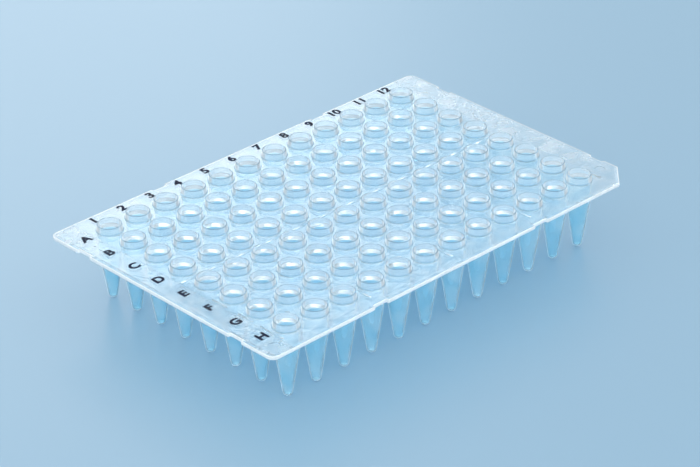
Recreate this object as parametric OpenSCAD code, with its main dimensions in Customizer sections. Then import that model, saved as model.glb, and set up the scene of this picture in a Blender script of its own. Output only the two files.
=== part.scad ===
// Well plate: 96 tapered wells in 8 rows of 12, hung from a thin flat deck.
// One injection moulding in clear polypropylene, with no skirt, so it stands on its tube tips.
// +X runs from column 1 to column 12, +Y from row H to row A, +Z up. Z = 0 is at the tube tips.
// The origin is under the middle of the well grid, which is the middle of the deck.

/* [Well grid] */
// distance between the centres of neighbouring wells
pitch = 9; // [7.5:0.1:10.8]
// wells along the plate, columns 1 to 12
cols = 12; // [6:1:24]
// wells across the plate, rows A to H
rows = 8; // [4:1:16]

/* [Overall] */
// height from the tube tips to the collar rims
overall_h = 20.6; // [17:0.1:25]
// distance from the end columns' centres to the deck's ends
end_margin = 11.9; // [9.9:0.1:14.3]
// distance from the edge rows' centres to the deck's long sides
side_margin = 8.4; // [7:0.1:10.1]

/* [Deck] */
// thickness of the deck
deck_t = 1; // [0.8:0.05:1.4]
// radius of the deck's three rounded corners
corner_r = 2; // [1:0.1:4]
// length cut off each side at the key corner, beside the last well of the front row
key_cut = 6.2; // [3:0.1:8]

/* [Wells] */
// inside diameter of a well's mouth
mouth_d = 5.5; // [4.6:0.05:6.6]
// wall of a collar at its rim
rim_wall = 0.32; // [0.25:0.01:0.5]
// wall of a collar at its foot
foot_wall = 0.5; // [0.35:0.05:0.7]
// height of a collar above the deck
collar_h = 1.7; // [1:0.1:3]
// fillet where a collar or a tube meets the deck
foot_r = 0.25; // [0.1:0.05:0.4]

/* [Tubes] */
// wall of a tube, and the thickness of its floor
tube_wall = 0.4; // [0.3:0.02:0.5]
// outside diameter of a tube's rounded tip
tip_d = 2.5; // [2:0.1:3.2]
// full angle of a tube's cone
cone_angle = 17.6; // [14.7:0.1:21]
// draft of the tube's upper part, from the deck down to the cone
draft = 1; // [0.5:0.1:1.5]

/* [Edge notches] */
// length of each shallow notch in the deck's edge
notch_len = 4.2; // [2:0.1:6]
// depth of each notch
notch_depth = 0.7; // [0.3:0.1:1.5]

/* [Ribs and marks] */
// width of the ribs and guide bars on the deck
rib_w = 0.6; // [0.3:0.05:0.8]
// height of the ribs and guide bars
rib_h = 0.3; // [0.1:0.05:0.6]
// length of the three cutting guides between the front row and the front edge
guide_len = 4.7; // [3:0.1:5.5]
// distance of the end bars from the end columns' centres
end_bar_x = 4.4; // [4.1:0.1:6]
// length of the two bars beside the rows behind the front row, at the lettered end
side_bar_len = 5; // [3:0.1:8]
// length of the bar beside the front row's first well
front_bar_len = 7.8; // [4:0.1:8.5]
// length of the bar beside the front row's last well, at the key corner
key_bar_len = 6.6; // [4:0.1:8]
// diameter of the ejector pin marks
pin_d = 2.6; // [1.5:0.1:4]
// depth of the ejector pin marks
pin_depth = 0.12; // [0.05:0.01:0.3]
// distance of the ejector pin marks from the end columns' centres
pin_out = 7.7; // [5.5:0.1:8]
// distance of the lettered end's ejector pin mark from the front row's centres
pin_front = 4.5; // [1:0.1:5]
// diameter of the gate marks between the wells
gate_d = 1.1; // [0.6:0.1:1.6]
// height of the gate marks
gate_h = 0.15; // [0.05:0.05:0.3]

/* [Hidden] */
$fn = 48;
clear_pp = [0.86, 0.93, 0.97, 0.75];
// half the grid, from its middle to the outer wells' centres
grid_x = (cols - 1) * pitch / 2;
grid_y = (rows - 1) * pitch / 2;
deck_x = grid_x + end_margin;
deck_y = grid_y + side_margin;
deck_top = overall_h - collar_h;
deck_low = deck_top - deck_t;
mouth_r = mouth_d / 2;
tube_r = mouth_r + tube_wall;
tip_r = tip_d / 2;
half = cone_angle / 2;
// distance of the notches and the outer cutting guides from the middle, on the line between two wells
quarter = floor(cols / 4) * pitch;
// wells between each gate mark and the grid's end
gate_skips = [0, 4];
// how deep the ribs and gate marks are sunk into the deck
sunk = deck_t / 2;
// how far a cutting shape runs past the face that it cuts
over = 0.5;

// height at which the cone from a tip sphere of radius r meets the drafted wall
// that has radius top_r at the deck
function cone_top(r, top_r) =
  (top_r - deck_low * tan(draft) - r * cos(half) + (tip_r - r * sin(half)) * tan(half))
  / (tan(half) - tan(draft));
// radius of that drafted wall at height z
function draft_r(top_r, z) = top_r - (deck_low - z) * tan(draft);

// the outline of a tube and its collar from the axis out, before it is hollowed
module outer_profile() {
  touch_r = tip_r * cos(half);
  touch_z = tip_r - tip_r * sin(half);
  cone_z = cone_top(tip_r, tube_r);
  collar_r = mouth_r + rim_wall;
  foot = mouth_r + foot_wall;
  polygon([
    [0, touch_z], [touch_r, touch_z],
    [draft_r(tube_r, cone_z), cone_z], [draft_r(tube_r, deck_low - foot_r), deck_low - foot_r],
    [tube_r + foot_r, deck_low], [foot + foot_r, deck_low],
    [foot + foot_r, deck_top], [foot, deck_top + foot_r],
    [collar_r, overall_h], [0, overall_h]
  ]);
  intersection() {
    translate([0, tip_r]) circle(r = tip_r);
    square([tip_r, tip_r * 2]);
  }
}

// the hollow of a well, from the axis out
module inner_profile() {
  bore_tip = tip_r - tube_wall;
  touch_r = bore_tip * cos(half);
  touch_z = tip_r - bore_tip * sin(half);
  cone_z = cone_top(bore_tip, mouth_r);
  polygon([
    [0, touch_z], [touch_r, touch_z],
    [draft_r(mouth_r, cone_z), cone_z], [mouth_r, deck_low],
    [mouth_r, overall_h + over], [0, overall_h + over]
  ]);
  intersection() {
    translate([0, tip_r]) circle(r = bore_tip);
    square([bore_tip, tip_r * 2]);
  }
}

// one shape at each well
module at_wells() {
  for (r = [0 : rows - 1], c = [0 : cols - 1])
    translate([c * pitch - grid_x, r * pitch - grid_y, 0]) children();
}

// the deck's outline, with three round corners and the key corner cut off
module deck_outline() {
  difference() {
    union() {
      square([2 * deck_x, 2 * (deck_y - corner_r)], center = true);
      square([2 * (deck_x - corner_r), 2 * deck_y], center = true);
      for (x = [-1, 1], y = [-1, 1])
        translate([x * (deck_x - corner_r), y * (deck_y - corner_r)]) circle(r = corner_r);
    }
    polygon([
      [deck_x - key_cut, -deck_y], [deck_x - key_cut, -deck_y - over],
      [deck_x + over, -deck_y - over], [deck_x + over, key_cut - deck_y],
      [deck_x, key_cut - deck_y]
    ]);
    for (x = [-1, 1], y = [-1, 1]) {
      translate([x * quarter, y * deck_y]) square([notch_len, 2 * notch_depth], center = true);
      translate([x * deck_x, y * (grid_y - pitch / 2)])
        square([2 * notch_depth, notch_len], center = true);
    }
  }
}

// a low bar on the deck with round ends, centred, running along Y
module bar(len) {
  linear_extrude(height = sunk + rib_h) {
    square([rib_w, len - rib_w], center = true);
    for (y = [-1, 1]) translate([0, y * (len - rib_w) / 2]) circle(d = rib_w);
  }
}

// the long rib between the middle rows, the cutting guides and the bars at the two ends
module ribs() {
  translate([0, 0, deck_top - sunk]) {
    rotate([0, 0, 90]) bar(2 * grid_x + pitch);
    for (x = [-quarter, 0, quarter])
      translate([x, -grid_y - guide_len / 2, 0]) bar(guide_len);
    for (r = [1, 2])
      translate([-grid_x - end_bar_x, r * pitch - grid_y, 0]) bar(side_bar_len);
    translate([-grid_x - end_bar_x, -grid_y, 0]) bar(front_bar_len);
    translate([grid_x + end_bar_x, -grid_y, 0]) bar(key_bar_len);
  }
}

// gate marks in the spaces between four wells
module gates() {
  for (x = [-1, 1], y = [-1, 1], k = gate_skips)
    translate([x * (grid_x - (k + 0.5) * pitch), y * (grid_y - pitch / 2), deck_top - sunk])
      cylinder(h = sunk + gate_h, d = gate_d);
}

// ejector pin marks in the deck's top, beside the front corners
module pin_marks() {
  for (p = [[-1, pin_front], [1, 0]])
    translate([p[0] * (grid_x + pin_out), -grid_y - p[1], deck_top - pin_depth])
      cylinder(h = pin_depth + over, d = pin_d);
}

module well_plate() {
  color(clear_pp)
  difference() {
    union() {
      translate([0, 0, deck_low]) linear_extrude(height = deck_t) deck_outline();
      at_wells() rotate_extrude() outer_profile();
      ribs();
      gates();
    }
    at_wells() rotate_extrude() inner_profile();
    pin_marks();
  }
}

well_plate();
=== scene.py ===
"""Looks of a skirtless 96-well plate: one moulding in clear polypropylene with a printed index.

The plate is built again here as one fine, closed skin of the same sizes as the CAD node that it stands
for, because clear plastic shows each facet and each hard edge. The frame gives where it stands. Lengths
are in millimetres until a mesh is written.
"""

import logging
import math
from dataclasses import dataclass, field
from enum import Enum

import bpy
import numpy as np
from mathutils import Matrix, Vector
from mathutils.geometry import delaunay_2d_cdt


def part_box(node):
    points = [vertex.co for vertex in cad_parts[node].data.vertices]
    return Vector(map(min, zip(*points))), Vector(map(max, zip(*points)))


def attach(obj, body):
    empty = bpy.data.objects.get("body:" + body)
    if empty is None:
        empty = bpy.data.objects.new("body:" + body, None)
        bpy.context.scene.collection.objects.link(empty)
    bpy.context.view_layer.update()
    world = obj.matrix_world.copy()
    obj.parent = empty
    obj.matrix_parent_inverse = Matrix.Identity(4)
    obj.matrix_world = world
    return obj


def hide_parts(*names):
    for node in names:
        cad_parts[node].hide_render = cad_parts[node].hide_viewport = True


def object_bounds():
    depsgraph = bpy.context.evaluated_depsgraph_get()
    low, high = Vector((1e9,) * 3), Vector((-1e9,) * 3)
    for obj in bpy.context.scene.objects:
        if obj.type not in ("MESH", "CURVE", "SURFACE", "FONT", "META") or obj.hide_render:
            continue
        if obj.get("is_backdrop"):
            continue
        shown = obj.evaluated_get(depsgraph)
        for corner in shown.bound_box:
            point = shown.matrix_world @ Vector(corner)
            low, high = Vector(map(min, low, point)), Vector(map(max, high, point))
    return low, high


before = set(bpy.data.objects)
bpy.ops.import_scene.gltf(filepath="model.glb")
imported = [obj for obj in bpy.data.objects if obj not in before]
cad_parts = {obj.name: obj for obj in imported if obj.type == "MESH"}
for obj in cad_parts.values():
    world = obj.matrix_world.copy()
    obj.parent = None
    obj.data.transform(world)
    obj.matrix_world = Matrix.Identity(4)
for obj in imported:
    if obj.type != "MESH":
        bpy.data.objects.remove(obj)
log = logging.getLogger("well_plate")
logging.basicConfig(level=logging.INFO, format="%(name)s: %(message)s")

MM = 0.001
NODE = "well_plate"

# In millimetres: the margin at the limit between two finishes, and the gap under which points are one.
HAIR = 0.01
SAME = 1e-6

Profile = list[tuple[float, float]]
Colour = tuple[float, float, float, float]
Inputs = dict[str | int, object]
Sockets = dict[str, bpy.types.NodeSocket]
Surface = tuple[bpy.types.NodeSocket, bpy.types.NodeSocket, bpy.types.NodeSocket]


class Facing(Enum):
    """Which way a flat face looks."""

    UP = 1.0
    DOWN = -1.0


class Part(Enum):
    """The parts of the plate that have a material of their own, each with its number among the materials. The
    rim and foot materials are painted dark lines of shade, the edge material is a painted highlight on the
    deck's edge and the tube tips, and the collars and tubes carry a painted lighter and a painted bluer tint
    of one plastic.
    """

    DECK = 0
    TUBE = 1
    EDGE = 2
    COLLAR = 3
    RIM = 4
    FOOT = 5


def direction(azimuth: float, elevation: float) -> Vector:
    """The direction from the plate to a camera or a lamp.

    Args:
        azimuth: Its turn round the plate, in degrees, 0 at the front.
        elevation: Its height above the horizon, in degrees.

    Returns:
        The direction, of length 1.
    """
    a, e = math.radians(azimuth), math.radians(elevation)
    return Vector((math.sin(a) * math.cos(e), -math.cos(a) * math.cos(e), math.sin(e)))


def arc(centre: tuple[float, float], radius: float, start: float, end: float, steps: int) -> Profile:
    """Points along an arc.

    Args:
        centre: The arc's centre.
        radius: Its radius.
        start: Angle of its first point, in degrees.
        end: Angle of its last point, in degrees.
        steps: How many straight pieces it has.

    Returns:
        The points, both ends included.
    """
    angles = np.radians(np.linspace(start, end, steps + 1))
    return [(centre[0] + radius * math.cos(a), centre[1] + radius * math.sin(a)) for a in angles]


@dataclass
class Outline:
    """A closed line in plan, with the direction that points out of it at each of its points."""

    points: np.ndarray
    outward: np.ndarray

    @classmethod
    def circle(cls, x: float, y: float, sides: int) -> "Outline":
        """A circle of radius nought, which a profile's own distances open out.

        Args:
            x: Centre along the plate.
            y: Centre across the plate.
            sides: Points round the circle.

        Returns:
            The outline.
        """
        angles = np.linspace(0, 2 * math.pi, sides, endpoint=False)
        outward = np.stack([np.cos(angles), np.sin(angles)], axis=1)
        return cls(np.tile([x, y], (sides, 1)), outward)

    @classmethod
    def bar(cls, x: float, y: float, length: float, along_x: bool, end_steps: int = 6) -> "Outline":
        """The line along the middle of a bar with round ends, which a profile opens out.

        Args:
            x: Middle of the bar along the plate.
            y: Middle of the bar across the plate.
            length: Distance between the centres of its two round ends.
            along_x: Whether it runs along the plate.
            end_steps: Straight pieces round each end.

        Returns:
            The outline.
        """
        reach = np.array([length / 2, 0.0]) if along_x else np.array([0.0, length / 2])
        first = 0.0 if along_x else 90.0
        points, outward = [], []
        for sign in (1, -1):
            for a in np.radians(np.linspace(-90, 90, end_steps + 1) + first):
                points.append(np.array([x, y]) + sign * reach)
                outward.append([sign * math.cos(a), sign * math.sin(a)])
        return cls(np.array(points), np.array(outward))

    @classmethod
    def rounded(cls, corners: list[tuple[float, float, float]], steps: int = 4) -> "Outline":
        """A polygon, counted anticlockwise, with an arc at each corner.

        Args:
            corners: x, y and the radius of each corner.
            steps: Straight pieces in each arc.

        Returns:
            The outline.
        """
        points, outward = [], []
        for i, (x, y, radius) in enumerate(corners):
            here = Vector((x, y))
            before = (here - Vector(corners[i - 1][:2])).normalized()
            after = (Vector(corners[(i + 1) % len(corners)][:2]) - here).normalized()
            turn = before.angle_signed(after) * -1
            reach = radius * abs(math.tan(turn / 2))
            side = 1.0 if turn > 0 else -1.0
            inward = Vector((-before.y, before.x)) * side
            centre = here - before * reach + inward * radius
            first = math.atan2(-inward.y, -inward.x)
            for a in np.linspace(first, first + turn, steps + 1):
                spoke = np.array([math.cos(a), math.sin(a)])
                points.append(np.array(centre) + radius * spoke)
                outward.append(spoke * side)
        return cls(np.array(points), np.array(outward))

    def moved_out(self, distance: float) -> np.ndarray:
        """The outline's points, moved out by a distance."""
        return self.points + self.outward * distance


@dataclass
class Skin:
    """A mesh as it grows: points, their normals and the faces between them."""

    points: list[np.ndarray] = field(default_factory=list)
    normals: list[np.ndarray] = field(default_factory=list)
    faces: list[tuple[int, ...]] = field(default_factory=list)
    count: int = 0

    def add(self, points: np.ndarray, normals: np.ndarray) -> list[int]:
        """Adds points.

        Args:
            points: The points.
            normals: The way that the skin faces at each of them.

        Returns:
            The points' numbers.
        """
        self.points.append(points)
        self.normals.append(normals)
        first, self.count = self.count, self.count + len(points)
        return list(range(first, self.count))

    def loft(self, outline: Outline, profile: Profile) -> tuple[list[int], list[int]]:
        """Sweeps a profile round an outline. A ring that shrinks to a point becomes one point.

        Args:
            outline: The line in plan.
            profile: Distance out from the outline and height of each ring. Going up, the skin faces
                outward.

        Returns:
            The numbers of the first ring's and the last ring's points.
        """
        line = np.array(profile)
        line = line[[True, *(np.linalg.norm(np.diff(line, axis=0), axis=1) > SAME)]]
        travel = np.diff(line, axis=0)
        travel /= np.linalg.norm(travel, axis=1)[:, None]
        tangent = np.vstack([travel[:1], travel[:-1] + travel[1:], travel[-1:]])
        rings = []
        for (distance, height), (along, up) in zip(line, tangent):
            plan = outline.moved_out(distance)
            normals = np.column_stack([outline.outward * up, np.full(len(plan), -along)])
            if np.ptp(plan, axis=0).max() < SAME:
                plan, normals = plan[:1], np.array([[0.0, 0.0, -along]])
            rings.append(self.add(np.column_stack([plan, np.full(len(plan), height)]), normals))
        for lower, upper in zip(rings[:-1], rings[1:]):
            for k in range(len(outline.points)):
                n = (k + 1) % len(outline.points)
                if len(upper) == 1:
                    self.faces.append((lower[k], lower[n], upper[0]))
                elif len(lower) == 1:
                    self.faces.append((lower[0], upper[n], upper[k]))
                else:
                    self.faces.append((lower[k], lower[n], upper[n], upper[k]))
        return rings[0], rings[-1]

    def bridge(self, lower: list[int], outline: Outline, height: float, tilt: float) -> list[int]:
        """Joins a ring to another one further up or in.

        Args:
            lower: Numbers of the ring's points.
            outline: The new ring in plan, with as many points.
            height: Its height.
            tilt: How far its normals lean out from straight up, in degrees.

        Returns:
            The numbers of the new ring's points.
        """
        lean = math.radians(tilt)
        normals = np.column_stack([outline.outward * math.sin(lean), np.full(len(lower), math.cos(lean))])
        upper = self.add(np.column_stack([outline.points, np.full(len(lower), height)]), normals)
        for k in range(len(lower)):
            n = (k + 1) % len(lower)
            self.faces.append((lower[k], lower[n], upper[n], upper[k]))
        return upper

    def cap(self, ring: list[int], facing: Facing) -> None:
        """Closes a ring with one flat face.

        Args:
            ring: Numbers of the ring's points, anticlockwise from above.
            facing: Which way the face looks.
        """
        self.flatten(ring, facing)
        self.faces.append(tuple(ring) if facing is Facing.UP else tuple(reversed(ring)))

    def sheet(self, edge: list[int], holes: list[list[int]], facing: Facing) -> None:
        """Fills the flat space between an outer ring and the rings of its holes.

        Args:
            edge: Numbers of the outer ring's points.
            holes: Numbers of each hole's points.
            facing: Which way the sheet looks.
        """
        every = np.vstack(self.points)
        loops = [edge, *holes]
        numbers = [n for loop in loops for n in loop]
        lines, start = [], 0
        for loop in loops:
            lines += [(start + k, start + (k + 1) % len(loop)) for k in range(len(loop))]
            start += len(loop)
        plan = [Vector(every[n][:2]) for n in numbers]
        _, _, triangles, origin, _, _ = delaunay_2d_cdt(plan, lines, [], 1, SAME)
        loop_of = {n: i for i, hole in enumerate(holes) for n in hole}
        for triangle in triangles:
            corners = [numbers[origin[v][0]] for v in triangle]
            inside = {loop_of.get(n) for n in corners}
            if len(inside) == 1 and None not in inside:
                continue
            a, b, c = (every[n][:2] for n in corners)
            anticlockwise = (b[0] - a[0]) * (c[1] - a[1]) > (b[1] - a[1]) * (c[0] - a[0])
            self.faces.append(tuple(corners if anticlockwise == (facing is Facing.UP) else corners[::-1]))
        for loop in loops:
            self.flatten(loop, facing)

    def flatten(self, ring: list[int], facing: Facing) -> None:
        """Points the normals of a ring straight up or down, so that the flat face beside it shades flat.

        Args:
            ring: Numbers of the ring's points.
            facing: Which way the flat face looks.
        """
        starts = np.cumsum([0, *[len(p) for p in self.points]])
        for number in ring:
            block = int(np.searchsorted(starts, number, side="right")) - 1
            self.normals[block][number - starts[block]] = (0.0, 0.0, facing.value)

    def object(self, name: str) -> bpy.types.Object:
        """Writes the skin out as a Blender object, in metres.

        Args:
            name: Name of the object and of its mesh.

        Returns:
            The object, in the scene.
        """
        mesh = bpy.data.meshes.new(name)
        mesh.from_pydata((np.vstack(self.points) * MM).tolist(), [], self.faces)
        normals = np.vstack(self.normals)
        normals /= np.linalg.norm(normals, axis=1)[:, None]
        mesh.shade_smooth()
        mesh.normals_split_custom_set_from_vertices(normals.tolist())
        mesh.validate()
        piece = bpy.data.objects.new(name, mesh)
        bpy.context.scene.collection.objects.link(piece)
        return piece


@dataclass
class WellGrid:
    """Where the wells stand."""

    pitch: float = 9.0
    columns: int = 12
    rows: int = 8

    @property
    def half_x(self) -> float:
        """Distance from the middle to the end columns' centres."""
        return (self.columns - 1) * self.pitch / 2

    @property
    def half_y(self) -> float:
        """Distance from the middle to the edge rows' centres."""
        return (self.rows - 1) * self.pitch / 2

    def x(self, column: int) -> float:
        """Place of a column, the first being 0, at the lettered end."""
        return column * self.pitch - self.half_x

    def y(self, row: int) -> float:
        """Place of a row, the first being 0, along the numbered side."""
        return self.half_y - row * self.pitch

    def centres(self) -> list[tuple[float, float]]:
        """The centre of each well."""
        return [(self.x(c), self.y(r)) for r in range(self.rows) for c in range(self.columns)]


@dataclass
class Well:
    """One well: its collar above the deck and its tube below, as profiles from the axis out."""

    deck_top: float
    deck_low: float
    top: float
    mouth: float = 2.75
    rim_wall: float = 0.32
    foot_wall: float = 0.5
    fillet: float = 0.25
    rim_round: float = 0.1
    wall: float = 0.4
    tip: float = 1.25
    cone_angle: float = 17.6
    draft: float = 1.0
    # Painted shade: the dark line at the collar's foot starts this far out from the foot.
    foot_shade_line: float = 0.06
    # Painted highlight: the band of each tube's tip between these heights takes the whiter, less clear
    # material.
    painted_tip_highlight: tuple[float, float] = (0.05, 0.4)
    sides: int = 32

    def cone_top(self, tip: float, top_radius: float) -> float:
        """Height at which the cone from a tip sphere meets the drafted wall.

        Args:
            tip: Radius of the tip sphere, whose centre is at the height of the outer one's.
            top_radius: Radius of the drafted wall at the deck's underside.

        Returns:
            The height.
        """
        half, draft = math.radians(self.cone_angle / 2), math.radians(self.draft)
        reach = top_radius - self.deck_low * math.tan(draft) - tip * math.cos(half)
        reach += (self.tip - tip * math.sin(half)) * math.tan(half)
        return reach / (math.tan(half) - math.tan(draft))

    def drafted(self, top_radius: float, height: float) -> float:
        """Radius of a drafted wall at a height, from its radius at the deck's underside."""
        return top_radius - (self.deck_low - height) * math.tan(math.radians(self.draft))

    def upper(self) -> Profile:
        """The collar from the deck up, over the rim and down inside the well to the tip's floor.

        Returns:
            The profile.
        """
        foot, rim, r = self.mouth + self.foot_wall, self.mouth + self.rim_wall, self.rim_round
        half = self.cone_angle / 2
        floor = self.tip - self.wall
        bend = self.cone_top(floor, self.mouth)
        line = arc((foot + self.fillet, self.deck_top + self.fillet), self.fillet, 270, 180, 3)
        line += arc((rim - r, self.top - r), r, 10, 90, 3)
        line += arc((self.mouth + r, self.top - r), r, 90, 180, 3)
        line += [(self.mouth, self.deck_low)]
        line += [(self.drafted(self.mouth, bend), bend)]
        line += arc((0.0, self.tip), floor, -half, -90, 4)
        return line

    def lower(self) -> Profile:
        """The tube's outside from its tip up to the deck's underside.

        Returns:
            The profile.
        """
        outer = self.mouth + self.wall
        bend = self.cone_top(self.tip, outer)
        line = arc((0.0, self.tip), self.tip, -90, -self.cone_angle / 2, 5)
        line += [(self.drafted(outer, bend), bend)]
        line += arc((outer + self.fillet, self.deck_low - self.fillet), self.fillet, 180, 90, 2)
        return line

    def build(self, skin: Skin, x: float, y: float) -> tuple[list[int], list[int]]:
        """Adds the well to a skin.

        Args:
            skin: The plate's skin.
            x: The well's place along the plate.
            y: Its place across the plate.

        Returns:
            The rings where its collar leaves the deck's top and its tube leaves the underside.
        """
        circle = Outline.circle(x, y, self.sides)
        above, _ = skin.loft(circle, self.upper())
        _, below = skin.loft(circle, self.lower())
        return above, below


@dataclass
class Plate:
    """The moulding: deck, wells, ribs and marks in one closed skin.

    Guides and side notches stand guide_columns pitches from the middle. A gate's column counts pitches
    in from the end column. A trace's place is its distance out from that column, its place across the
    plate and its length. Building the plate notes which faces its edge and the pin marks take, so that the
    edge gets a painted highlight and the pin marks painted dark rings of shade.
    """

    grid: WellGrid
    top: float
    end_margin: float = 11.9
    side_margin: float = 8.4
    deck: float = 1.0
    collar: float = 1.7
    corner: float = 2.0
    key_cut: float = 6.2
    notch_length: float = 4.2
    notch_depth: float = 0.7
    small_round: float = 0.25
    edge_round: float = 0.12
    lip: float = 0.9
    lip_drop: float = 0.15
    # Painted highlight: how far in from the edge the band of highlight on the lip reaches.
    lip_highlight_width: float = 0.25
    lip_crest: float = 0.01
    lip_end: float = 0.06
    rib_width: float = 0.6
    rib_height: float = 0.3
    rib_round: float = 0.1
    guide_columns: int = 3
    guide_length: float = 4.7
    end_bar_x: float = 4.4
    side_bar: float = 5.0
    front_bar: float = 7.8
    key_bar: float = 6.6
    pin: float = 2.6
    pin_depth: float = 0.12
    pin_out: float = 7.7
    pin_front: float = 4.5
    gate: float = 1.1
    gate_height: float = 0.15
    gate_columns: tuple[float, ...] = (0.5, 4.5)
    trace: float = 0.44
    trace_height: float = 0.12
    trace_places: tuple[tuple[float, float, float], ...] = (
        (7.9, 27.6, 0.0), (7.9, 25.3, 1.1), (6.8, -25.5, 0.0),
        (6.8, -27.8, 1.1), (4.9, 19.6, 0.0), (4.9, 18.8, 0.0))
    pin_sides: int = 32
    gate_sides: int = 20
    trace_sides: int = 12
    edge_faces: int = field(init=False, default=0)
    pin_faces: list[int] = field(init=False, default_factory=list)

    @property
    def deck_top(self) -> float:
        """Height of the deck's top."""
        return self.top - self.collar

    @property
    def half_x(self) -> float:
        """Half the deck's length."""
        return self.grid.half_x + self.end_margin

    @property
    def half_y(self) -> float:
        """Half the deck's width."""
        return self.grid.half_y + self.side_margin

    def outline(self, inset: float = 0.0) -> Outline:
        """The deck's edge, with its notches, three round corners and the cut key corner.

        Args:
            inset: How far inside the edge to draw it.

        Returns:
            The outline, with the same number of points for each inset.
        """
        x, y, small = self.half_x - inset, self.half_y - inset, self.small_round
        cut, corner = self.key_cut - inset * (2 - math.sqrt(2)), self.corner - inset
        side_notch = self.guide_columns * self.grid.pitch
        end_notch = self.grid.half_y - self.grid.pitch / 2
        corners: list[tuple[float, float, float]] = []

        def notched(start: Vector, along: Vector, middles: tuple[float, ...]) -> None:
            """Adds the notches of one side.

            Args:
                start: The side's middle.
                along: The way that it runs.
                middles: How far along it, from its middle, each notch's middle is.
            """
            inward = Vector((-along.y, along.x))
            for middle in middles:
                a = start + along * (middle - self.notch_length / 2 - inset)
                b = start + along * (middle + self.notch_length / 2 + inset)
                for point in (a, a + inward * self.notch_depth, b + inward * self.notch_depth, b):
                    corners.append((*point, small))

        corners.append((-x, -y, corner))
        notched(Vector((0, -y)), Vector((1, 0)), (-side_notch, side_notch))
        corners += [(x - cut, -y, small), (x, cut - y, small)]
        notched(Vector((x, 0)), Vector((0, 1)), (-end_notch, end_notch))
        corners.append((x, y, corner))
        notched(Vector((0, y)), Vector((-1, 0)), (-side_notch, side_notch))
        corners.append((-x, y, corner))
        notched(Vector((-x, 0)), Vector((0, -1)), (-end_notch, end_notch))
        return Outline.rounded(corners)

    def bars(self) -> list[Outline]:
        """The rib between the middle rows, the cutting guides and the bars at the two ends.

        Returns:
            The line along the middle of each.
        """
        grid, width = self.grid, self.rib_width
        front = grid.y(grid.rows - 1)
        lines = [Outline.bar(0, 0, 2 * grid.half_x + grid.pitch - width, True)]
        for side in (-1, 0, 1):
            x = side * self.guide_columns * grid.pitch
            lines.append(Outline.bar(x, front - self.guide_length / 2, self.guide_length - width, False))
        end = grid.half_x + self.end_bar_x
        for row, length in ((3, self.side_bar), (2, self.side_bar), (1, self.front_bar)):
            lines.append(Outline.bar(-end, grid.y(grid.rows - row), length - width, False))
        lines.append(Outline.bar(end, front, self.key_bar - width, False))
        return lines

    def raised(self, half_width: float, height: float) -> Profile:
        """Profile of a low raised shape on the deck.

        Args:
            half_width: Half its width.
            height: Its height.

        Returns:
            The profile from the deck up to the shape's flat top.
        """
        r, z = min(self.rib_round, height / 2), self.deck_top
        line = arc((half_width + r, z + r), r, 270, 180, 2)
        line += arc((half_width - r, z + height - r), r, 0, 90, 2)
        return line

    def build(self) -> bpy.types.Object:
        """Builds the plate.

        Returns:
            The plate's object.
        """
        skin = Skin()
        low, e = self.deck_top - self.deck, self.edge_round
        slope = math.degrees(math.atan(self.lip_drop / self.lip))
        brink = self.deck_top - self.lip_drop
        edge = arc((-e, low + e), e, -90, 0, 2) + arc((-e, brink - e), e, 0, 90 - slope, 2)
        bottom, top = skin.loft(self.outline(), edge)
        # The edge's faces, up to a band of the lip, take the painted highlight.
        rise = self.lip_drop * self.lip_highlight_width / self.lip
        top = skin.bridge(top, self.outline(self.lip_highlight_width), brink + rise, slope)
        self.edge_faces = len(skin.faces)
        top = skin.bridge(top, self.outline(self.lip), self.deck_top - self.lip_crest, slope)
        top = skin.bridge(top, self.outline(self.lip + self.lip_end), self.deck_top, 0.0)
        well = Well(self.deck_top, low, self.top)
        above, below = zip(*[well.build(skin, x, y) for x, y in self.grid.centres()])
        marks = [*self.ribs(skin), *self.gates(skin), *self.pins(skin), *self.traces(skin)]
        skin.sheet(top, [*above, *marks], Facing.UP)
        skin.sheet(bottom, list(below), Facing.DOWN)
        return skin.object("moulded_plate")

    def mark(self, skin: Skin, plan: Outline, profile: Profile) -> list[int]:
        """Adds one mark with a flat top or floor.

        Args:
            skin: The plate's skin.
            plan: The mark's outline.
            profile: Its profile, from the deck on.

        Returns:
            The mark's ring on the deck.
        """
        foot, crest = skin.loft(plan, profile)
        skin.cap(crest, Facing.UP)
        return foot

    def ribs(self, skin: Skin) -> list[list[int]]:
        """Adds the ribs, guides and bars, and returns their rings on the deck."""
        profile = self.raised(self.rib_width / 2, self.rib_height)
        return [self.mark(skin, bar, profile) for bar in self.bars()]

    def gates(self, skin: Skin) -> list[list[int]]:
        """Adds the marks of the gates between wells.

        Args:
            skin: The plate's skin.

        Returns:
            Their rings on the deck.
        """
        profile = self.raised(self.gate / 2, self.gate_height)
        y = self.grid.half_y - self.grid.pitch / 2
        rings = []
        for end in (-1, 1):
            for side in (-1, 1):
                for column in self.gate_columns:
                    x = self.grid.half_x - column * self.grid.pitch
                    spot = Outline.circle(end * x, side * y, self.gate_sides)
                    rings.append(self.mark(skin, spot, profile))
        return rings

    def pins(self, skin: Skin) -> list[list[int]]:
        """Adds the round marks of the ejector pins.

        Args:
            skin: The plate's skin.

        Returns:
            Their rings on the deck.
        """
        r = self.pin_depth / 2
        profile = arc((self.pin / 2 + r, self.deck_top - r), r, 90, 180, 2)
        profile += arc((self.pin / 2 - r, self.deck_top - r), r, 0, -90, 2)
        rings = []
        for end, front in ((-1, self.pin_front), (1, 0.0)):
            first = len(skin.faces)
            x = end * (self.grid.half_x + self.pin_out)
            spot = Outline.circle(x, -self.grid.half_y - front, self.pin_sides)
            rings.append(self.mark(skin, spot, profile))
            self.pin_faces += range(first, len(skin.faces) - 1)
        return rings

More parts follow.
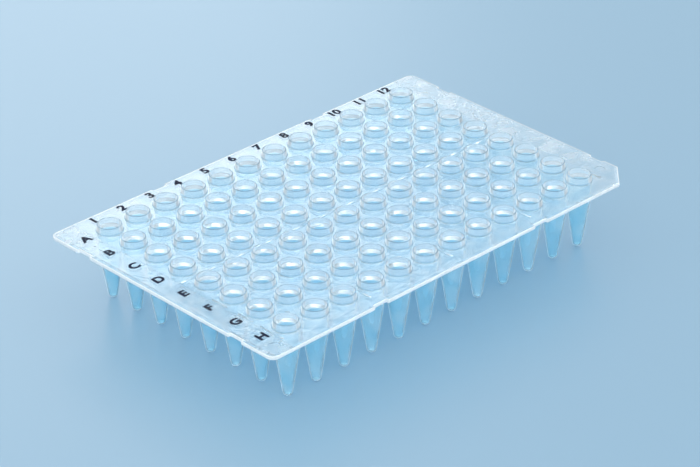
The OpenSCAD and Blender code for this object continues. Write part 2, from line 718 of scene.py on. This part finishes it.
    def traces(self, skin: Skin) -> list[list[int]]:
        """Adds the dots and dashes beside the letters.

        Args:
            skin: The plate's skin.

        Returns:
            Their rings on the deck.
        """
        profile = self.raised(self.trace / 2, self.trace_height)
        rings = []
        for out, y, length in self.trace_places:
            x = -self.grid.half_x - out
            if length:
                plan = Outline.bar(x, y, length, False, self.trace_sides // 3)
            else:
                plan = Outline.circle(x, y, self.trace_sides)
            rings.append(self.mark(skin, plan, profile))
        return rings

    def dress(self, piece: bpy.types.Object) -> None:
        """Gives the deck, the collars and the tubes their materials, with a painted highlight on the deck's
        edge and the tube tips and painted dark lines of shade at the rims, the collar feet and the pin marks.

        Args:
            piece: The plate's object.
        """
        for part in Part:
            piece.data.materials.append(FINISHES_AND_PAINTED_LIGHT[part].material())
        places = np.array([face.center for face in piece.data.polygons]) / MM
        height = places[:, 2]
        distance = np.full(len(places), np.inf)
        for centre in self.grid.centres():
            distance = np.minimum(distance, np.hypot(*(places[:, :2] - centre).T))
        foot = Well.mouth + Well.foot_wall
        collar = distance < foot + Well.fillet + HAIR
        # Painted shade: the outer rounding of each rim takes a dark blue material, a painted dark line round
        # the rim.
        rim = (height > self.top - Well.rim_round) & (distance > Well.mouth + Well.rim_round)
        tip_low, tip_high = Well.painted_tip_highlight
        slots = np.full(len(places), Part.DECK.value, np.int32)
        # Painted light: the collars take a whiter tint than the deck, though all is one plastic.
        slots[collar] = Part.COLLAR.value
        # Painted shade: the outer faces of each collar's foot fillet take a darker blue, a painted dark line
        # in the crease.
        slots[collar & (distance > foot + Well.foot_shade_line)] = Part.FOOT.value
        slots[rim] = Part.RIM.value
        # Painted shade: the tubes take a deeper blue than the deck and collars, though all is one plastic.
        slots[height < self.deck_top - self.deck - HAIR] = Part.TUBE.value
        # Painted highlight: a band low on each tube's tip and the deck's edge take a whiter, less clear
        # material.
        slots[(height > tip_low) & (height < tip_high)] = Part.EDGE.value
        slots[:self.edge_faces] = Part.EDGE.value
        # Painted shade: the rings of the pin marks take the same darker blue, as painted dark rings.
        slots[self.pin_faces] = Part.FOOT.value
        piece.data.polygons.foreach_set("material_index", slots)


class Nodes:
    """A short way to add and join the nodes of one tree."""

    def __init__(self, tree: bpy.types.NodeTree) -> None:
        """Keeps the tree that the nodes go into."""
        self.tree = tree

    def add(self, kind: str, inputs: Inputs | None = None, **settings: object) -> bpy.types.Node:
        """Adds a node.

        Args:
            kind: The node's type, without the words ShaderNode.
            inputs: Values or sockets for its inputs, by name or number.
            settings: Values for its own settings.

        Returns:
            The node.
        """
        node = self.tree.nodes.new("ShaderNode" + kind)
        for name, value in settings.items():
            setattr(node, name, value)
        self.fill(node, inputs or {})
        return node

    def fill(self, node: bpy.types.Node, inputs: Inputs) -> None:
        """Sets or joins a node's inputs.

        Args:
            node: The node.
            inputs: Values or sockets for its inputs, by name or number.
        """
        for name, value in inputs.items():
            if isinstance(value, bpy.types.NodeSocket):
                self.tree.links.new(value, node.inputs[name])
            else:
                node.inputs[name].default_value = value

    def math(self, operation: str, *values: object) -> bpy.types.NodeSocket:
        """Adds a sum of one kind and returns its result."""
        return self.add("Math", dict(enumerate(values)), operation=operation).outputs[0]

    def ramp(self, value: object, low: object, high: object) -> bpy.types.NodeSocket:
        """Adds a smooth step.

        Args:
            value: The value to read.
            low: Where the step from 0 to 1 starts.
            high: Where it ends.

        Returns:
            The result.
        """
        inputs = {"Value": value, "From Min": low, "From Max": high}
        return self.add("MapRange", inputs, interpolation_type="SMOOTHSTEP").outputs[0]

    def mix(self, share: object, first: object, second: object) -> bpy.types.NodeSocket:
        """Mixes two colours.

        Args:
            share: How much of the second one there is.
            first: The first colour.
            second: The second colour.

        Returns:
            The mixed colour.
        """
        return self.add("Mix", {"Factor": share, 6: first, 7: second}, data_type="RGBA").outputs[2]


class Effects:
    """The shader node groups that the finishes share, each built once. Their lengths are in millimetres."""

    @staticmethod
    def group(name: str, inputs: dict[str, float], outputs: tuple[str, ...]) -> tuple[Nodes, Sockets]:
        """Starts a group.

        Args:
            name: The group's name.
            inputs: Its inputs and their values.
            outputs: Its outputs.

        Returns:
            A way to add its nodes, and its inputs' sockets by name.
        """
        tree = bpy.data.node_groups.new(name, "ShaderNodeTree")
        for key, value in inputs.items():
            socket = tree.interface.new_socket(key, in_out="INPUT", socket_type="NodeSocketFloat")
            socket.default_value = value
        for key in outputs:
            tree.interface.new_socket(key, in_out="OUTPUT", socket_type="NodeSocketFloat")
        start = tree.nodes.new("NodeGroupInput")
        return Nodes(tree), {key: start.outputs[key] for key in inputs}

    @staticmethod
    def finish(nodes: Nodes, results: Sockets) -> bpy.types.NodeTree:
        """Joins the results to a group's outputs.

        Args:
            nodes: The group's nodes.
            results: The socket for each output.

        Returns:
            The group.
        """
        out = nodes.tree.nodes.new("NodeGroupOutput")
        for key, socket in results.items():
            nodes.tree.links.new(socket, out.inputs[key])
        return nodes.tree

    @staticmethod
    def place(nodes: Nodes) -> bpy.types.NodeSocket:
        """The place on the part, in millimetres."""
        metres = nodes.add("TexCoord").outputs["Object"]
        return nodes.add("VectorMath", {0: metres, "Scale": 1 / MM}, operation="SCALE").outputs[0]

    @classmethod
    def moulded_grain(cls) -> bpy.types.NodeTree:
        """The unevenness of a moulded surface: flow waves, a fine stipple and patches of duller gloss.

        Returns:
            The group.
        """
        name = "moulded_grain"
        if name in bpy.data.node_groups:
            return bpy.data.node_groups[name]
        inputs = {"Flow size": 5.0, "Stipple size": 0.35, "Stipple": 0.0, "Gloss": 0.1, "Spread": 0.1}
        nodes, given = cls.group(name, inputs, ("Height", "Roughness", "Patches"))
        place = cls.place(nodes)
        scale = nodes.math("DIVIDE", 1.0, given["Flow size"])
        flow = nodes.add("TexNoise", {"Vector": place, "Scale": scale, "Detail": 2.0, "Distortion": 0.6})
        scale = nodes.math("DIVIDE", 1.0, given["Stipple size"])
        stipple = nodes.add("TexNoise", {"Vector": place, "Scale": scale, "Detail": 1.0})
        height = nodes.math("MULTIPLY_ADD", stipple.outputs[0], given["Stipple"], flow.outputs[0])
        patches = nodes.ramp(flow.outputs[0], 0.35, 0.65)
        rough = nodes.math("MULTIPLY_ADD", patches, given["Spread"], given["Gloss"])
        return cls.finish(nodes, {"Height": height, "Roughness": rough, "Patches": patches})

    @classmethod
    def zone(cls) -> bpy.types.NodeTree:
        """A rectangle of the deck in plan, with soft sides.

        Returns:
            The group.
        """
        name = "zone"
        if name in bpy.data.node_groups:
            return bpy.data.node_groups[name]
        inputs = {"Low X": -1.0, "High X": 1.0, "Low Y": -1.0, "High Y": 1.0, "Fade": 1.0}
        nodes, given = cls.group(name, inputs, ("Mask",))
        plan = nodes.add("SeparateXYZ", {0: cls.place(nodes)})
        mask = None
        for axis in "XY":
            for side, order in (("Low", 1), ("High", -1)):
                edge = given[f"{side} {axis}"]
                inside = (plan.outputs[axis], edge)[::order]
                step = nodes.ramp(nodes.math("SUBTRACT", *inside), 0.0, given["Fade"])
                mask = step if mask is None else nodes.math("MULTIPLY", mask, step)
        return cls.finish(nodes, {"Mask": mask})

    @classmethod
    def tool_lines(cls) -> bpy.types.NodeTree:
        """Fine parallel lines that a milled mould leaves, running across the plate.

        Returns:
            The group.
        """
        name = "tool_lines"
        if name in bpy.data.node_groups:
            return bpy.data.node_groups[name]
        nodes, given = cls.group(name, {"Spacing": 0.55, "Waver": 0.15}, ("Height",))
        place = cls.place(nodes)
        noise = nodes.add("TexNoise", {"Vector": place, "Scale": 0.25, "Detail": 1.0}).outputs[0]
        along = nodes.add("SeparateXYZ", {0: place}).outputs["X"]
        along = nodes.math("MULTIPLY_ADD", noise, given["Waver"], along)
        turn = nodes.math("MULTIPLY", nodes.math("DIVIDE", along, given["Spacing"]), 2 * math.pi)
        return cls.finish(nodes, {"Height": nodes.math("SINE", turn)})


@dataclass(frozen=True)
class Polypropylene:
    """Clear moulded polypropylene with a faint blue cast, paler in patches of the flow, and with a painted
    highlight that makes it paler where it is seen edge on.
    """

    name: str
    colour: Colour
    paler_and_edge_highlight: Colour
    clearness: float
    gloss: float
    spread: float
    flow_depth: float
    patchy: float = 0.3
    sheen: float = 0.0
    sheen_spread: float = 0.3
    ior: float = 1.49
    edge_highlight_facing: tuple[float, float] = (0.5, 0.95)
    passed: Colour = (0.92, 0.96, 0.98, 1.0)

    def material(self) -> bpy.types.Material:
        """Builds the material.

        Returns:
            The material.
        """
        material = bpy.data.materials.new(self.name)
        material.use_nodes = True
        nodes = Nodes(material.node_tree)
        shader = material.node_tree.nodes["Principled BSDF"]
        height, roughness, patches = self.surface(nodes)
        bump = nodes.add("Bump", {"Height": height, "Distance": self.flow_depth * MM})
        nodes.tree.links.new(bump.outputs[0], shader.inputs["Normal"])
        nodes.tree.links.new(roughness, shader.inputs["Roughness"])
        # Painted highlight: the colour turns paler where the surface is seen edge on, so that outlines show
        # light; the flow patches add real paler tone.
        facing = nodes.add("LayerWeight", {"Blend": 0.5}).outputs["Facing"]
        share = nodes.math("MULTIPLY_ADD", patches, self.patchy, nodes.ramp(facing, *self.edge_highlight_facing))
        nodes.tree.links.new(nodes.mix(share, self.colour, self.paler_and_edge_highlight), shader.inputs["Base Color"])
        shader.inputs["Transmission Weight"].default_value = self.clearness
        shader.inputs["IOR"].default_value = self.ior
        shader.inputs["Sheen Weight"].default_value = self.sheen
        shader.inputs["Sheen Roughness"].default_value = self.sheen_spread
        self.let_lamps_through(nodes, shader)
        return material

    def surface(self, nodes: Nodes) -> Surface:
        """The surface's fine shape and its gloss.

        Args:
            nodes: The material's nodes.

        Returns:
            The height, in steps of the flow waves' depth, the roughness and the patches.
        """
        grain = nodes.add("Group", node_tree=Effects.moulded_grain())
        nodes.fill(grain, {"Gloss": self.gloss, "Spread": self.spread})
        return grain.outputs["Height"], grain.outputs["Roughness"], grain.outputs["Patches"]

    def let_lamps_through(self, nodes: Nodes, shader: bpy.types.Node) -> None:
        """Lets the lamps shine on through each wall, a little dimmed, as they do through clear plastic.

        Args:
            nodes: The material's nodes.
            shader: Its plastic.
        """
        path = nodes.add("LightPath")
        clear = nodes.add("BsdfTransparent", {"Color": self.passed})
        inputs = {0: path.outputs["Is Shadow Ray"], 1: shader.outputs[0], 2: clear.outputs[0]}
        mix = nodes.add("MixShader", inputs)
        nodes.tree.links.new(mix.outputs[0], nodes.tree.nodes["Material Output"].inputs["Surface"])


@dataclass(frozen=True)
class Zone:
    """A rectangle of the deck in plan, in millimetres."""

    low_x: float
    high_x: float
    low_y: float
    high_y: float
    fade: float = 1.0

    def mask(self, nodes: Nodes) -> bpy.types.NodeSocket:
        """Its mask in a material.

        Args:
            nodes: The material's nodes.

        Returns:
            The mask, 1 inside it.
        """
        zone = nodes.add("Group", node_tree=Effects.zone())
        values = {"Low X": self.low_x, "High X": self.high_x, "Low Y": self.low_y, "High Y": self.high_y}
        nodes.fill(zone, {**values, "Fade": self.fade})
        return zone.outputs["Mask"]


@dataclass(frozen=True)
class DeckPlastic(Polypropylene):
    """The deck's plastic: stippled corners and end strip, and a panel with tool lines beside the letters."""

    stippled: tuple[Zone, ...] = (
        Zone(53.6, 62.0, -29.0, 41.0, fade=1.5),
        Zone(-62.0, -54.0, 31.5, 41.0),
        Zone(-62.0, -54.0, -41.0, -32.5))
    lined: Zone = Zone(-60.6, -52.4, -24.0, 0.5, fade=2.0)
    panel: Zone = Zone(-60.4, -54.3, -42.0, 38.8, fade=0.15)
    stipple: float = 0.45
    faint_stipple: float = 0.05
    dulled: float = 0.12
    line_share: float = 0.3
    panel_step: float = 1.0
    flow_size: float = 3.2

    def surface(self, nodes: Nodes) -> Surface:
        """The surface's fine shape and its gloss.

        Args:
            nodes: The material's nodes.

        Returns:
            The height, in steps of the flow waves' depth, the roughness and the patches.
        """
        matt = None
        for zone in self.stippled:
            mask = zone.mask(nodes)
            matt = mask if matt is None else nodes.math("MAXIMUM", matt, mask)
        grain = nodes.add("Group", node_tree=Effects.moulded_grain())
        nodes.fill(grain, {"Gloss": self.gloss, "Spread": self.spread, "Flow size": self.flow_size})
        nodes.fill(grain, {"Stipple": nodes.math("MULTIPLY_ADD", matt, self.stipple, self.faint_stipple)})
        lines = nodes.add("Group", node_tree=Effects.tool_lines()).outputs[0]
        lines = nodes.math("MULTIPLY", lines, nodes.math("MULTIPLY", self.lined.mask(nodes), self.line_share))
        height = nodes.math("ADD", grain.outputs["Height"], lines)
        height = nodes.math("MULTIPLY_ADD", self.panel.mask(nodes), self.panel_step, height)
        roughness = nodes.math("MULTIPLY_ADD", matt, self.dulled, grain.outputs["Roughness"])
        return height, roughness, grain.outputs["Patches"]


@dataclass(frozen=True)
class PrintedInk:
    """Dark blue ink, a little thin and uneven where it was pressed on."""

    dark: Colour = (0.002, 0.004, 0.016, 1.0)
    thin: Colour = (0.006, 0.012, 0.045, 1.0)
    depth: float = 0.01
    shine: float = 0.1

    def material(self) -> bpy.types.Material:
        """Builds the material.

        Returns:
            The material.
        """
        material = bpy.data.materials.new("printed_ink")
        material.use_nodes = True
        nodes = Nodes(material.node_tree)
        shader = material.node_tree.nodes["Principled BSDF"]
        grain = nodes.add("Group", node_tree=Effects.moulded_grain())
        nodes.fill(grain, {"Flow size": 0.8, "Gloss": 0.5, "Spread": 0.2})
        colour = nodes.mix(grain.outputs["Patches"], self.dark, self.thin)
        nodes.tree.links.new(colour, shader.inputs["Base Color"])
        nodes.tree.links.new(grain.outputs["Roughness"], shader.inputs["Roughness"])
        bump = nodes.add("Bump", {"Height": grain.outputs["Height"], "Distance": self.depth * MM})
        nodes.tree.links.new(bump.outputs[0], shader.inputs["Normal"])
        shader.inputs["Specular IOR Level"].default_value = self.shine
        return material


FINISHES_AND_PAINTED_LIGHT = {
    Part.DECK: DeckPlastic(
        "matted_deck", (0.72, 0.845, 0.905, 1.0), (0.96, 0.98, 0.985, 1.0),
        clearness=0.92, gloss=0.09, spread=0.08, flow_depth=0.09, patchy=0.8),
    # Painted shade: the tubes take a deeper blue than the deck and collars, though all are one plastic; their
    # white edge-on tint is a painted highlight.
    Part.TUBE: Polypropylene(
        "clear_tubes_painted_shade", (0.54, 0.81, 0.91, 1.0), (1.0, 1.0, 1.0, 1.0),
        clearness=0.82, gloss=0.03, spread=0.03, flow_depth=0.004, sheen=1.0),
    # Painted highlight: a whiter, less clear material that makes the deck's edge and the tube tips glow.
    Part.EDGE: Polypropylene(
        "edge_painted_highlight", (0.93, 0.98, 1.0, 1.0), (0.99, 1.0, 1.0, 1.0),
        clearness=0.25, gloss=0.15, spread=0.10, flow_depth=0.010),
    # Painted light: the collars take a whiter tint than the deck and tubes, though all are one plastic.
    Part.COLLAR: Polypropylene(
        "collars_painted_light", (0.88, 0.95, 0.99, 1.0), (0.98, 0.99, 1.0, 1.0),
        clearness=0.82, gloss=0.08, spread=0.05, flow_depth=0.004, sheen=1.0, sheen_spread=0.45, ior=1.15),
    # Painted shade: a dark blue for the rims' outer rounding, drawn as a dark line round each rim.
    Part.RIM: Polypropylene(
        "rim_painted_dark_lines", (0.12, 0.28, 0.40, 1.0), (0.16, 0.34, 0.46, 1.0),
        clearness=0.60, gloss=0.08, spread=0.04, flow_depth=0.004),
    # Painted shade: a darker blue for the crease at the collars' feet and the pin marks' rings.
    Part.FOOT: Polypropylene(
        "foot_painted_shade_lines", (0.34, 0.56, 0.70, 1.0), (0.42, 0.62, 0.76, 1.0),
        clearness=0.70, gloss=0.08, spread=0.04, flow_depth=0.004),
}


@dataclass
class IndexPrint:
    """The printed index: a letter beside each row and a number beside each column."""

    grid: WellGrid
    height: float
    capital: float = 2.8
    letter_out: float = 7.2
    letter_up: float = 0.4
    number_out: float = 6.2
    film: float = 0.012
    bold: float = 0.05
    stretch: float = 1.1
    gap: float = 0.002

    def character(self, text: str, x: float, y: float) -> bpy.types.Object:
        """Prints one mark.

        Args:
            text: The letter or number.
            x: Its middle along the plate.
            y: Its middle across the plate.

        Returns:
            The mark's object, a thin film on the deck.
        """
        curve = bpy.data.curves.new("index_" + text, "FONT")
        curve.body = text
        line = bpy.data.objects.new(curve.name, curve)
        bpy.context.scene.collection.objects.link(line)
        curve.bevel_depth, curve.bevel_resolution = self.bold, 1
        bpy.context.view_layer.update()
        mesh = bpy.data.meshes.new_from_object(line.evaluated_get(bpy.context.evaluated_depsgraph_get()))
        bpy.data.objects.remove(line)
        low = np.min([v.co for v in mesh.vertices], axis=0)
        high = np.max([v.co for v in mesh.vertices], axis=0)
        size = self.capital / (high[1] - low[1])
        scale = Matrix.Diagonal((size * self.stretch, size, self.film / (high[2] - low[2]), 1.0))
        lift = Matrix.Translation((x, y, self.height + self.film / 2 + self.gap))
        mesh.transform(Matrix.Scale(MM, 4) @ lift @ scale @ Matrix.Translation(-Vector((low + high) / 2)))
        mesh.name = "index_" + text
        mark = bpy.data.objects.new(mesh.name, mesh)
        bpy.context.scene.collection.objects.link(mark)
        return mark

    def build(self) -> list[bpy.types.Object]:
        """Prints every mark.

        Returns:
            The marks' objects.
        """
        grid = self.grid
        marks = []
        for row in range(grid.rows):
            x, y = grid.x(0) - self.letter_out, grid.y(row) + self.letter_up
            marks.append(self.character(chr(ord("A") + row), x, y))
        for column in range(grid.columns):
            marks.append(self.character(str(column + 1), grid.x(column), grid.y(0) + self.number_out))
        return marks

    def dress(self, marks: list[bpy.types.Object]) -> None:
        """Inks the marks.

        Args:
            marks: The marks' objects.
        """
        ink = PrintedInk().material()
        for mark in marks:
            mark.data.materials.clear()
            mark.data.materials.append(ink)


@dataclass(frozen=True)
class SoftLamp:
    """A soft lamp that looks at the plate from some way off.

    Its azimuth and elevation are in degrees, its width, height and distance in metres and its power in watts.
    """

    name: str
    azimuth: float
    elevation: float
    width: float
    height: float
    power: float
    distance: float = 1.2

    def hang(self) -> None:
        """Hangs the lamp."""
        back = direction(self.azimuth, self.elevation)
        data = bpy.data.lights.new(self.name, "AREA")
        data.shape, data.energy = "RECTANGLE", self.power
        data.size, data.size_y = self.width, self.height
        lamp = bpy.data.objects.new(self.name, data)
        turn = back.to_track_quat("Z", "Y").to_matrix().to_4x4()
        lamp.matrix_world = Matrix.Translation(back * self.distance) @ turn
        bpy.context.scene.collection.objects.link(lamp)


@dataclass
class Studio:
    """A pale floor, soft lamps and the camera. Lengths are in metres, apart from the lens's."""

    target: Vector
    azimuth: float = -43.37
    elevation: float = 29.55
    roll: float = -0.77
    distance: float = 0.7337
    lens: float = 154.0
    aside: float = 0.00065
    below: float = 0.00872
    even: Colour = (0.90, 0.94, 0.97, 1.0)
    low_room: Colour = (0.78, 0.88, 0.94, 1.0)
    high_room: Colour = (0.96, 0.98, 0.99, 1.0)
    room_rise: float = 0.3
    floor_colour: Colour = (0.27, 0.44, 0.58, 1.0)
    floor_gloss: float = 0.35
    floor_reach: float = 6.0
    lamps: tuple[SoftLamp, ...] = (
        SoftLamp("back_softbox", 156, 22, width=0.86, height=0.50, power=2.7),
        SoftLamp("front_softbox", -50, 28, width=0.80, height=0.80, power=3.6),
        SoftLamp("side_softbox", 50, 30, width=0.70, height=0.70, power=0.9))

    def camera(self) -> None:
        """Puts the camera at the plate's front left corner, looking down on the deck."""
        a, r = math.radians(self.azimuth), math.radians(self.roll)
        back = direction(self.azimuth, self.elevation)
        level = Vector((math.cos(a), math.sin(a), 0.0))
        up = back.cross(level)
        right = math.cos(r) * level + math.sin(r) * up
        up = math.cos(r) * up - math.sin(r) * level
        place = self.target + back * self.distance + right * self.aside - up * self.below
        data = bpy.data.cameras.new("camera")
        data.lens, data.sensor_width = self.lens, 36.0
        data.clip_start, data.clip_end = 0.01, 50.0
        camera = bpy.data.objects.new("camera", data)
        camera.matrix_world = Matrix.Translation(place) @ Matrix((right, up, back)).transposed().to_4x4()
        bpy.context.scene.collection.objects.link(camera)
        bpy.context.scene.camera = camera

    def floor(self) -> None:
        """Lays the pale floor."""
        mesh = bpy.data.meshes.new("floor")
        reach = self.floor_reach
        corners = [(-reach, -reach, 0), (reach, -reach, 0), (reach, reach, 0), (-reach, reach, 0)]
        mesh.from_pydata(corners, [], [(0, 1, 2, 3)])
        floor = bpy.data.objects.new("floor", mesh)
        bpy.context.scene.collection.objects.link(floor)
        material = bpy.data.materials.new("pale_floor")
        material.use_nodes = True
        shader = material.node_tree.nodes["Principled BSDF"]
        shader.inputs["Base Color"].default_value = self.floor_colour
        shader.inputs["Roughness"].default_value = self.floor_gloss
        mesh.materials.append(material)
        floor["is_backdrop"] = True

    def light(self) -> None:
        """Hangs the lamps and lights the room, which plastic mirrors and bends as bluer low down."""
        world = bpy.data.worlds.new("studio")
        bpy.context.scene.world = world
        world.use_nodes = True
        nodes = Nodes(world.node_tree)
        path = nodes.add("LightPath")
        mirrored = nodes.math("MAXIMUM", path.outputs["Is Glossy Ray"], path.outputs["Is Transmission Ray"])
        height = nodes.add("SeparateXYZ", {0: nodes.add("TexCoord").outputs["Generated"]}).outputs["Z"]
        room = nodes.mix(nodes.ramp(height, 0.0, self.room_rise), self.low_room, self.high_room)
        lit = nodes.mix(mirrored, self.even, room)
        seen = nodes.mix(path.outputs["Is Camera Ray"], lit, self.high_room)
        world.node_tree.links.new(seen, world.node_tree.nodes["Background"].inputs["Color"])
        for lamp in self.lamps:
            lamp.hang()
        bpy.context.scene.view_settings.view_transform = "Standard"
        cycles = bpy.context.scene.cycles
        cycles.transparent_max_bounces = 40
        cycles.max_bounces, cycles.glossy_bounces, cycles.transmission_bounces = 28, 20, 28


def main() -> None:
    """Builds the plate, its print and the studio."""
    low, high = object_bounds()
    grid = WellGrid()
    plate = Plate(grid, top=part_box(NODE)[1].z / MM)
    moulded = plate.build()
    plate.dress(moulded)
    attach(moulded, "root")
    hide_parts(NODE)
    log.info("%s: %d triangles", moulded.name, sum(len(p.vertices) - 2 for p in moulded.data.polygons))

    index = IndexPrint(grid, plate.deck_top)
    marks = index.build()
    index.dress(marks)
    for mark in marks:
        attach(mark, "root")
        log.info("%s: %d faces", mark.name, len(mark.data.polygons))

    studio = Studio(Vector((0, 0, high.z)))
    studio.camera()
    studio.floor()
    studio.light()

    low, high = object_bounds()


if __name__ == "__main__":
    main()
